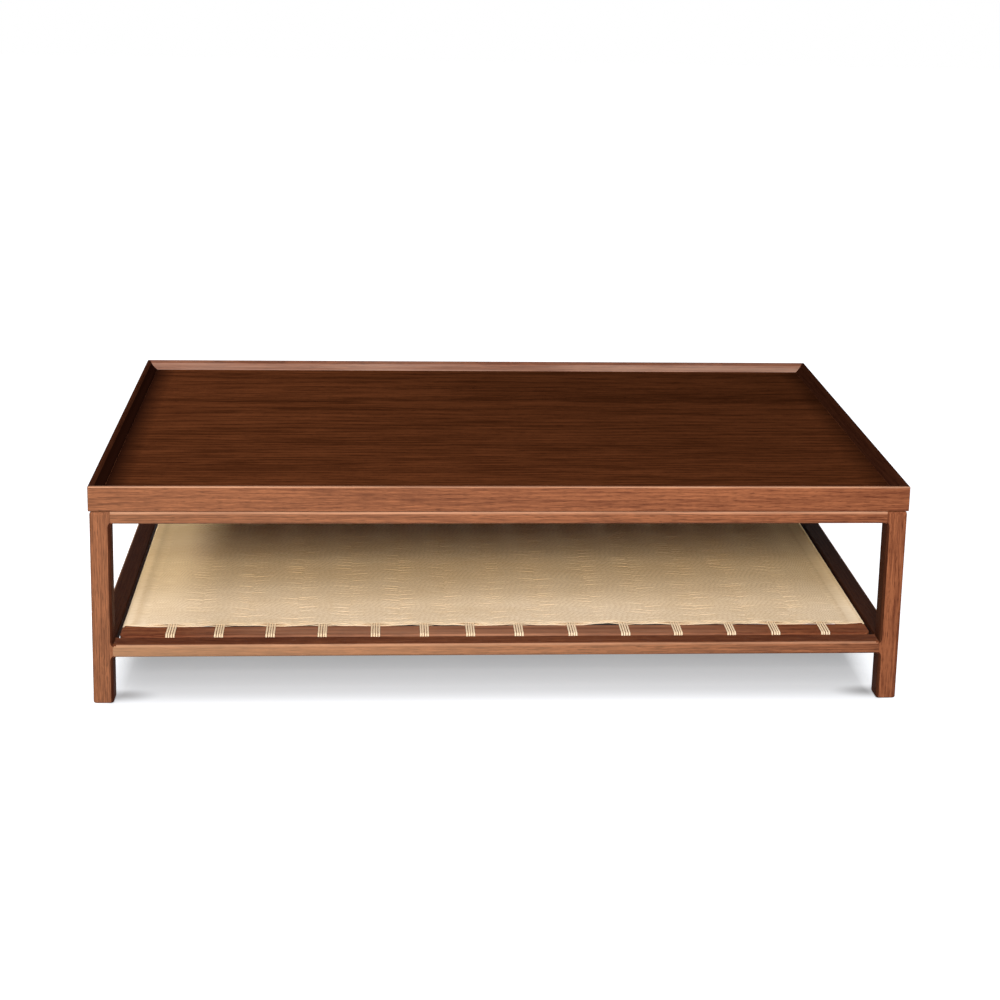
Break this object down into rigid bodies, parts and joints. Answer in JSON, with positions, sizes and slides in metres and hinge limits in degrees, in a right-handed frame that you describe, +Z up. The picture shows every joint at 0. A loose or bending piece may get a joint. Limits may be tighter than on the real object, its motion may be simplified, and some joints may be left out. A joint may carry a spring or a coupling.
{
  "type": "coffee table",
  "caption": "Low rectangular wooden coffee table: a lipped tray top on an open frame of square legs, with a drop-in shelf woven from paper cord.",
  "frame": {"origin": "on the floor under the middle of the table", "axes": "+X along the length to the right, +Z up, the front towards -Y"},
  "size_m": [1.524, 0.914, 0.427],
  "materials": {
    "stained_wood": "satin",
    "tray_wood": "satin",
    "hidden_wood": "unfinished",
    "paper_cord": "matt",
    "zinc_steel": "zinc plated",
    "glide_plastic": "matt"
  },
  "bodies": {
    "root": {"tray_panel": "tray_wood", "tray_rim_front": "stained_wood", "tray_rim_right": "stained_wood", "tray_rim_back": "stained_wood", "tray_rim_left": "stained_wood", "mitre_spline_front_left": "hidden_wood", "mitre_spline_front_right": "hidden_wood", "mitre_spline_back_right": "hidden_wood", "mitre_spline_back_left": "hidden_wood", "tray_batten_left": "hidden_wood", "tray_batten_centre": "hidden_wood", "tray_batten_right": "hidden_wood", "leg_front_left": "stained_wood", "glide_front_left": "glide_plastic", "leg_front_right": "stained_wood", "glide_front_right": "glide_plastic", "leg_back_right": "stained_wood", "glide_back_right": "glide_plastic", "leg_back_left": "stained_wood", "glide_back_left": "glide_plastic", "top_rail_front": "stained_wood", "stretcher_front": "stained_wood", "top_rail_right": "stained_wood", "stretcher_right": "stained_wood", "top_rail_back": "stained_wood", "stretcher_back": "stained_wood", "top_rail_left": "stained_wood", "stretcher_left": "stained_wood", "cross_rail": "stained_wood", "tray_screw_front_left": "zinc_steel", "tray_screw_back_left": "zinc_steel", "tray_screw_front_right": "zinc_steel", "tray_screw_back_right": "zinc_steel", "shelf_bar_front": "stained_wood", "shelf_bar_back": "stained_wood", "shelf_bar_left": "stained_wood", "shelf_bar_right": "stained_wood", "shelf_bar_centre": "hidden_wood", "shelf_bracket_front_left": "zinc_steel", "shelf_bracket_back_left": "zinc_steel", "shelf_bracket_front_centre": "zinc_steel", "shelf_bracket_back_centre": "zinc_steel", "shelf_bracket_front_right": "zinc_steel", "shelf_bracket_back_right": "zinc_steel", "weft_mat": "paper_cord", "warp_band_01": "paper_cord", "warp_band_02": "paper_cord", "warp_band_03": "paper_cord", "warp_band_04": "paper_cord", "warp_band_05": "paper_cord", "warp_band_06": "paper_cord", "warp_band_07": "paper_cord", "warp_band_08": "paper_cord", "warp_band_09": "paper_cord", "warp_band_10": "paper_cord", "warp_band_11": "paper_cord", "warp_band_12": "paper_cord", "warp_band_13": "paper_cord", "warp_band_14": "paper_cord"}
  },
  "joints": []
}
